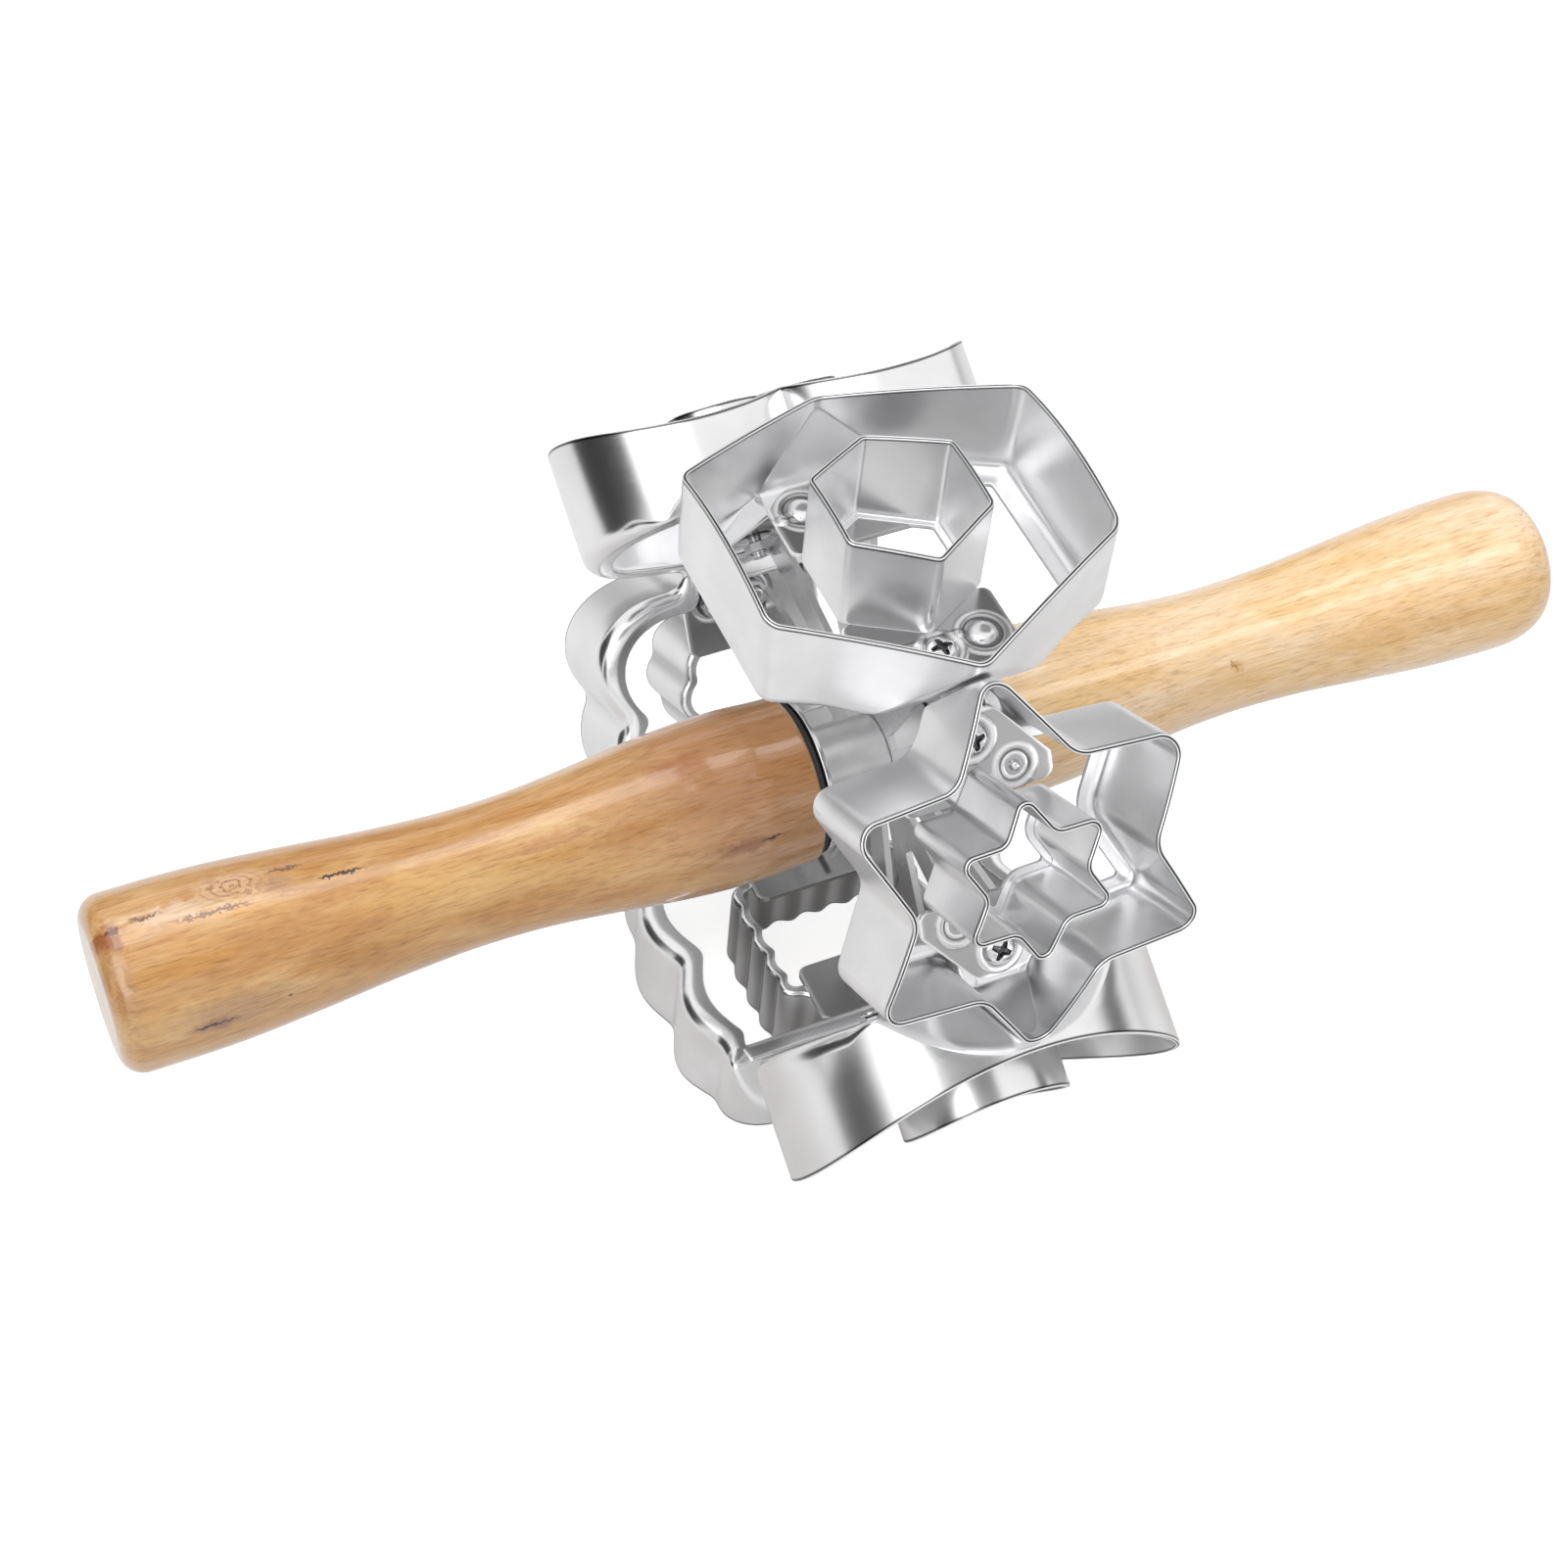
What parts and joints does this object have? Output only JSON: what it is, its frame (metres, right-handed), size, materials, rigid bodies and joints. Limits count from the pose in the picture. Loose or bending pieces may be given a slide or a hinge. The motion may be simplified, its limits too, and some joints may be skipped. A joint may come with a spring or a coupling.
{
  "type": "doughnut cutter roller",
  "caption": "Rolling dough cutter: a wheel of differently shaped ring cutters that spins freely on an axle between two turned wooden handles.",
  "frame": {"origin": "centre of the cutter wheel, on the axle", "axes": "+X along the axle from the amber handle to the cream handle, +Z out through the hexagonal cutter at rest, +Y away from the star cutter's side"},
  "size_m": [0.269, 0.13, 0.13],
  "materials": {
    "cutter_steel": "bright rolled stainless sheet",
    "bracket_steel": "satin stainless sheet",
    "fastener_steel": "plain stainless screws and rivets",
    "tube_steel": "polished tube",
    "axle_steel": "turned steel",
    "bush_nylon": "natural nylon",
    "dark_rubber": "black rubber",
    "amber_wood": "lacquered orange-brown hardwood, grain along the handle",
    "cream_wood": "lacquered pale yellow hardwood, grain along the handle"
  },
  "bodies": {
    "handles": {"axle_rod": "axle_steel", "steel_washer_left": "axle_steel", "steel_washer_right": "axle_steel", "cushion_washer_left": "dark_rubber", "cushion_washer_right": "dark_rubber", "wood_handle_left": "amber_wood", "wood_handle_right": "cream_wood"},
    "wheel": {"hub_tube": "tube_steel", "hub_spider": "bracket_steel", "bush_left": "bush_nylon", "bush_right": "bush_nylon", "cutter_hexagon": "cutter_steel", "hole_cutter_hexagon": "cutter_steel", "ear_hexagon_front": "bracket_steel", "ear_hexagon_back": "bracket_steel", "screw_hexagon_front": "fastener_steel", "screw_hexagon_back": "fastener_steel", "rivet_hexagon_front": "fastener_steel", "rivet_hexagon_back": "fastener_steel", "cutter_star": "cutter_steel", "hole_cutter_star": "cutter_steel", "ear_star_front": "bracket_steel", "ear_star_back": "bracket_steel", "screw_star_front": "fastener_steel", "screw_star_back": "fastener_steel", "rivet_star_front": "fastener_steel", "rivet_star_back": "fastener_steel", "cutter_round": "cutter_steel", "hole_cutter_round": "cutter_steel", "ear_round_front": "bracket_steel", "ear_round_back": "bracket_steel", "screw_round_front": "fastener_steel", "screw_round_back": "fastener_steel", "rivet_round_front": "fastener_steel", "rivet_round_back": "fastener_steel", "cutter_square": "cutter_steel", "hole_cutter_square": "cutter_steel", "ear_square_front": "bracket_steel", "ear_square_back": "bracket_steel", "screw_square_front": "fastener_steel", "screw_square_back": "fastener_steel", "rivet_square_front": "fastener_steel", "rivet_square_back": "fastener_steel", "cutter_flower": "cutter_steel", "hole_cutter_flower": "cutter_steel", "ear_flower_front": "bracket_steel", "ear_flower_back": "bracket_steel", "screw_flower_front": "fastener_steel", "screw_flower_back": "fastener_steel", "rivet_flower_front": "fastener_steel", "rivet_flower_back": "fastener_steel", "cutter_heart": "cutter_steel", "hole_cutter_heart": "cutter_steel", "ear_heart_front": "bracket_steel", "ear_heart_back": "bracket_steel", "screw_heart_front": "fastener_steel", "screw_heart_back": "fastener_steel", "rivet_heart_front": "fastener_steel", "rivet_heart_back": "fastener_steel"}
  },
  "joints": [
    {"name": "wheel_spin", "type": "hinge", "parent": "handles", "child": "wheel", "pos_m": [0, 0, 0], "axis": [1, 0, 0], "continuous": true}
  ]
}
